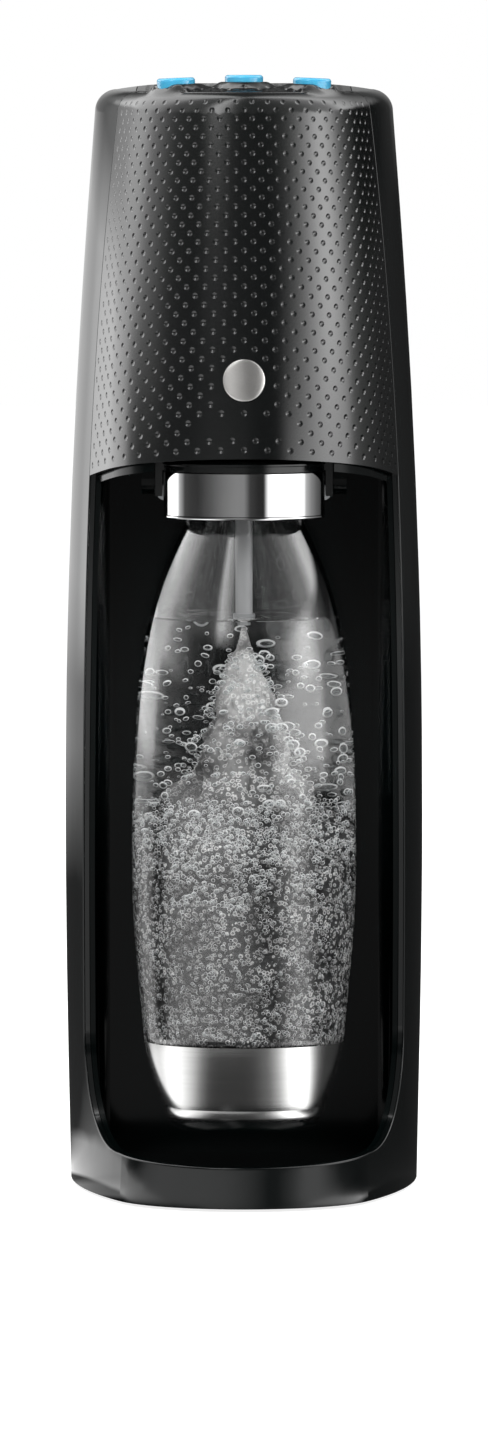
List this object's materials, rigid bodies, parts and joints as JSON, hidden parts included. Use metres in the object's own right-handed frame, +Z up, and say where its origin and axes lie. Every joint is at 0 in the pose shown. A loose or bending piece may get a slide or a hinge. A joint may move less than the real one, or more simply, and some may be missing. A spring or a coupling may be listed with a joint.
{
  "type": "soda carbonator",
  "caption": "Slim home soda carbonator: gloss black tower, dimpled head, round top buttons, clear water bottle in a tilting bright collar, gas cylinder behind a rear cover.",
  "frame": {"origin": "middle of the footprint, on the surface that the rubber feet stand on", "axes": "+Z up, +X to the machine's own left-right width with the front facing -Y, +Y to the back"},
  "size_m": [0.1354, 0.19, 0.4192],
  "materials": {
    "shell": "deep gloss black moulded plastic",
    "head": "satin black moulded plastic with rows of small round dimples",
    "recess": "gloss black moulded plastic",
    "badge": "plain satin metal disc",
    "chassis": "matte dark grey structural plastic",
    "base": "matte black plastic",
    "rubber": "matte black rubber",
    "screw": "zinc plated steel",
    "steel": "turned steel",
    "chrome": "mirror chrome",
    "cup": "fine brushed stainless steel",
    "yoke": "gloss black moulded plastic",
    "nozzle": "satin light grey plastic tube",
    "nozzle_tip": "satin dark grey plastic",
    "bottle": "clear glossy bottle plastic",
    "water": "clear still liquid",
    "fizz": "packed grey-white gas bubbles in water",
    "cap": "translucent light blue plastic",
    "gas_metal": "satin painted grey metal",
    "brass": "machined brass",
    "silicone": "translucent grey silicone",
    "board": "green circuit board",
    "switch": "black switch housing",
    "light_guide": "frosted clear plastic",
    "gear": "off-white nylon-like plastic",
    "spring": "spring steel wire",
    "motor": "zinc plated steel can"
  },
  "bodies": {
    "tower": {"outer_shell": "shell", "head_cover": "head", "badge_disc": "badge", "head_underside": "recess", "recess_liner": "recess", "liner_screws": "screw", "base_plate": "base", "rubber_feet": "rubber", "base_screws": "screw", "rear_hinge_pins": "steel", "chassis_frame": "chassis", "cylinder_cradle": "chassis", "valve_block": "brass", "relief_valve": "brass", "gas_hose": "silicone", "swivel_union": "chassis", "collar_pins": "steel", "button_spring_left": "spring", "button_spring_middle": "spring", "button_spring_right": "spring", "button_frame": "chassis", "button_board": "board", "tact_switches": "switch", "light_guides": "light_guide", "motor_can": "motor", "gearbox_housing": "chassis", "lever_pin": "steel", "pusher_spring": "spring", "control_board": "board", "dc_socket": "switch"},
    "collar": {"collar_yoke": "yoke", "collar_band": "chrome", "nozzle_tube": "nozzle", "nozzle_tip": "nozzle_tip", "neck_seal": "silicone", "feed_pipe": "steel"},
    "bottle": {"bottle_shell": "bottle", "bottle_cup": "cup", "water": "water", "fizz_plume": "fizz"},
    "cylinder": {"gas_cylinder": "gas_metal", "cylinder_valve": "brass"},
    "pin": {"valve_pin": "steel"},
    "left_button": {"button_left": "cap"},
    "middle_button": {"button_middle": "cap"},
    "right_button": {"button_right": "cap"},
    "rear_panel": {"rear_cover": "shell", "latch_spring": "spring"},
    "catch": {"cover_latch": "shell"},
    "cam": {"cam_gear": "gear"},
    "pinion": {"motor_pinion": "steel"},
    "lever": {"valve_lever": "steel"},
    "pusher": {"valve_pusher": "steel"}
  },
  "joints": [
    {"name": "collar_tilt", "type": "hinge", "parent": "tower", "child": "collar", "pos_m": [0, -0.008, 0.268], "axis": [-1, 0, 0], "range_deg": [0, 14]},
    {"name": "bottle_drop", "type": "slide", "parent": "collar", "child": "bottle", "axis": [0, 0, -1], "range_m": [0, 0.01]},
    {"name": "cylinder_release", "type": "slide", "parent": "tower", "child": "cylinder", "axis": [0, 0, -1], "range_m": [0, 0.008]},
    {"name": "left_press", "type": "slide", "parent": "tower", "child": "left_button", "axis": [0.0419, 0, -0.9991], "range_m": [0, 0.0016], "stiffness_N_per_m": 1500, "springref_m": -0.001, "deforming": ["button_spring_left"]},
    {"name": "middle_press", "type": "slide", "parent": "tower", "child": "middle_button", "axis": [0, 0, -1], "range_m": [0, 0.0016], "stiffness_N_per_m": 1500, "springref_m": -0.001, "deforming": ["button_spring_middle"]},
    {"name": "right_press", "type": "slide", "parent": "tower", "child": "right_button", "axis": [-0.0419, 0, -0.9991], "range_m": [0, 0.0016], "stiffness_N_per_m": 1500, "springref_m": -0.001, "deforming": ["button_spring_right"]},
    {"name": "rear_cover_open", "type": "hinge", "parent": "tower", "child": "rear_panel", "pos_m": [0, 0.0902, 0.0223], "axis": [-1, 0, 0], "range_deg": [0, 30]},
    {"name": "catch_press", "type": "slide", "parent": "rear_panel", "child": "catch", "axis": [0, 0, -1], "range_m": [0, 0.0025], "stiffness_N_per_m": 600, "springref_m": -0.0015, "deforming": ["latch_spring"]},
    {"name": "cam_turn", "type": "hinge", "parent": "tower", "child": "cam", "pos_m": [0, -0.008, 0.39], "axis": [1, 0, 0], "range_deg": [0, 90]},
    {"name": "pinion_turn", "type": "hinge", "parent": "tower", "child": "pinion", "pos_m": [0.007, -0.02076, 0.37724], "axis": [1, 0, 0], "range_deg": [-361, 0]},
    {"name": "lever_rock", "type": "hinge", "parent": "tower", "child": "lever", "pos_m": [0, 0.02, 0.3993], "axis": [-1, 0, 0], "range_deg": [0, 3]},
    {"name": "pusher_press", "type": "slide", "parent": "tower", "child": "pusher", "axis": [0, 0, -1], "range_m": [0, 0.0016], "deforming": ["pusher_spring"]},
    {"name": "pin_press", "type": "slide", "parent": "cylinder", "child": "pin", "axis": [0, 0, -1], "range_m": [0, 0.0016]}
  ],
  "couplings": [
    {"joint": "pinion_turn", "follows": "cam_turn", "ratio": -4},
    {"joint": "lever_rock", "follows": "cam_turn", "ratio": 0.031831},
    {"joint": "pusher_press", "follows": "cam_turn", "m_per_rad": 0.00095493},
    {"joint": "pin_press", "follows": "cam_turn", "m_per_rad": 0.00095493}
  ]
}
